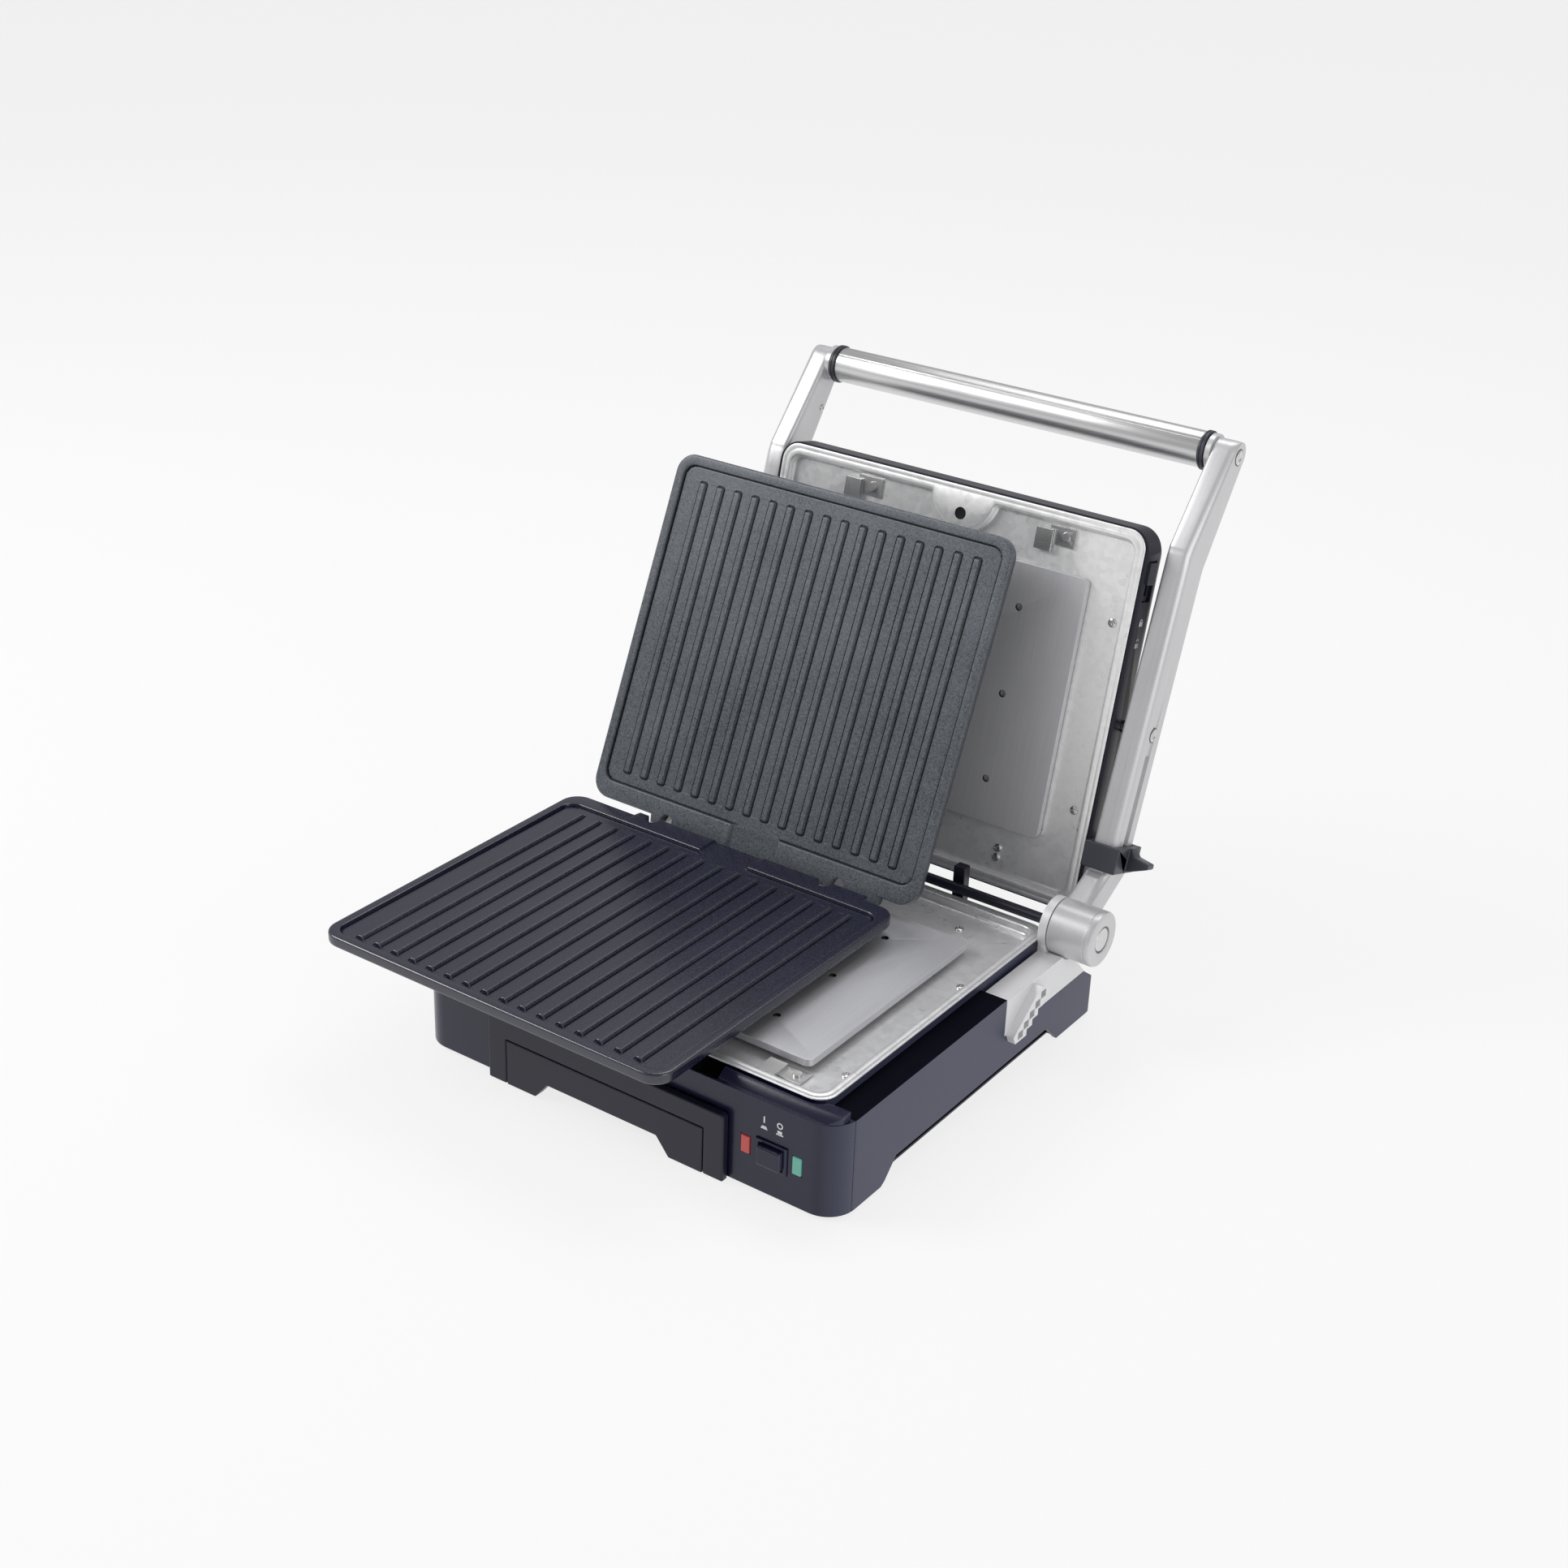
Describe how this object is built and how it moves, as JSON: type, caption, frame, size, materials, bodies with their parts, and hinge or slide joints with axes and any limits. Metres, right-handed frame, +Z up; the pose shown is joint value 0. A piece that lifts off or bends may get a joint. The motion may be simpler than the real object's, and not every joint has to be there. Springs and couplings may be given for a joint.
{
  "type": "panini press",
  "caption": "Contact grill with a lid on a floating yoke, removable ridged plates set off their seats, a drip tray, a power button and lamps.",
  "frame": {"origin": "on the tabletop, under the middle of the box that the press fills as shown", "axes": "+Z up, +Y from the user to the back hinge, +X to the user's right"},
  "size_m": [0.3992, 0.5068, 0.3856],
  "materials": {
    "gloss_housing": "polished black housing plastic",
    "satin_housing": "satin black housing plastic",
    "foot_rubber": "matt black rubber",
    "galvanised_sheet": "zinc-coated steel sheet with a fine spangle",
    "spreader_plate": "satin anodised aluminium with a fine vertical grain",
    "grill_coat": "cast aluminium under a speckled dark non-stick coat",
    "satin_silver": "satin silver paint on die-cast arms and brackets",
    "steel": "brushed stainless steel",
    "slate_plastic": "dark slate plastic",
    "terminal_ivory": "ivory moulded terminal block",
    "red_lens": "red lamp lens",
    "print_white": "white printed marks",
    "green_lens": "green lamp lens"
  },
  "bodies": {
    "base": {"base_housing": "satin_housing", "bottom_cover": "satin_housing", "button_frame": "satin_housing", "cable_guide": "satin_housing", "cord_gland": "foot_rubber", "foot_front_left": "foot_rubber", "foot_front_right": "foot_rubber", "foot_rear_left": "foot_rubber", "foot_rear_right": "foot_rubber", "front_panel": "gloss_housing", "green_lamp": "green_lens", "hinge_cross_tube": "satin_housing", "left_hinge_bracket": "satin_silver", "lower_heater_plate": "spreader_plate", "lower_heating_element": "steel", "lower_left_catch": "galvanised_sheet", "lower_pan": "galvanised_sheet", "lower_pan_screw_1": "steel", "lower_pan_screw_2": "steel", "lower_pan_screw_3": "steel", "lower_pan_screw_4": "steel", "lower_pan_screw_5": "steel", "lower_right_catch": "galvanised_sheet", "power_switch": "slate_plastic", "red_lamp": "red_lens", "right_hinge_bracket": "satin_silver", "terminal_block": "terminal_ivory", "thermostat": "slate_plastic", "tray_bezel": "satin_housing"},
    "yoke": {"handle_core_rod": "steel", "handle_tube": "steel", "left_arm": "satin_silver", "left_float_pin": "steel", "left_handle_collar": "slate_plastic", "left_hinge_pin": "steel", "right_arm": "satin_silver", "right_float_pin": "steel", "right_handle_collar": "slate_plastic", "right_hinge_pin": "steel"},
    "lid": {"lid_casing": "satin_housing", "lid_thermal_fuse": "galvanised_sheet", "upper_heater_plate": "spreader_plate", "upper_heating_element": "steel", "upper_left_catch": "galvanised_sheet", "upper_pan": "galvanised_sheet", "upper_pan_screw_1": "steel", "upper_pan_screw_2": "steel", "upper_pan_screw_3": "steel", "upper_pan_screw_4": "steel", "upper_pan_screw_5": "steel", "upper_pan_screw_6": "steel", "upper_right_catch": "galvanised_sheet"},
    "lid_lock": {"lid_lock_slider": "satin_housing"},
    "height_lock": {"height_lock_slider": "slate_plastic"},
    "lower_plate": {"lower_grill_plate": "grill_coat"},
    "upper_plate": {"upper_grill_plate": "grill_coat"},
    "power_button": {"power_button": "gloss_housing"},
    "drip_tray": {"drip_tray": "satin_housing"}
  },
  "joints": [
    {"name": "yoke_hinge", "type": "hinge", "parent": "base", "child": "yoke", "pos_m": [0.00645, 0.0761, 0.082], "axis": [1, 0, 0], "range_deg": [0, 102.85]},
    {"name": "lid_float", "type": "hinge", "parent": "yoke", "child": "lid", "pos_m": [0.00645, 0.155, 0.19857], "axis": [-1, 0, 0], "range_deg": [-6, 0]},
    {"name": "plate_shift", "type": "slide", "parent": "base", "child": "lower_plate", "axis": [0.6938, 0.7201, 0], "range_m": [0, 0.0953]},
    {"name": "plate_fold", "type": "hinge", "parent": "lower_plate", "child": "upper_plate", "pos_m": [-0.05955, 0.0091, 0.0863], "axis": [1, 0, 0], "range_deg": [0, 113.78]},
    {"name": "lid_lock_slide", "type": "slide", "parent": "lid", "child": "lid_lock", "axis": [0, -0.2224, -0.975], "range_m": [0, 0.01]},
    {"name": "height_lock_slide", "type": "slide", "parent": "yoke", "child": "height_lock", "axis": [0, 0.3214, 0.9469], "range_m": [0, 0.062]},
    {"name": "button_press", "type": "slide", "parent": "base", "child": "power_button", "axis": [0, 1, 0], "range_m": [0, 0.003], "stiffness_N_per_m": 300, "springref_m": -0.002},
    {"name": "tray_pull", "type": "slide", "parent": "base", "child": "drip_tray", "axis": [0, -1, 0], "range_m": [0, 0.105]}
  ],
  "couplings": [
    {"joint": "plate_shift", "follows": "yoke_hinge", "m_per_rad": 0.052991},
    {"joint": "plate_fold", "follows": "yoke_hinge", "ratio": 1.1053}
  ]
}
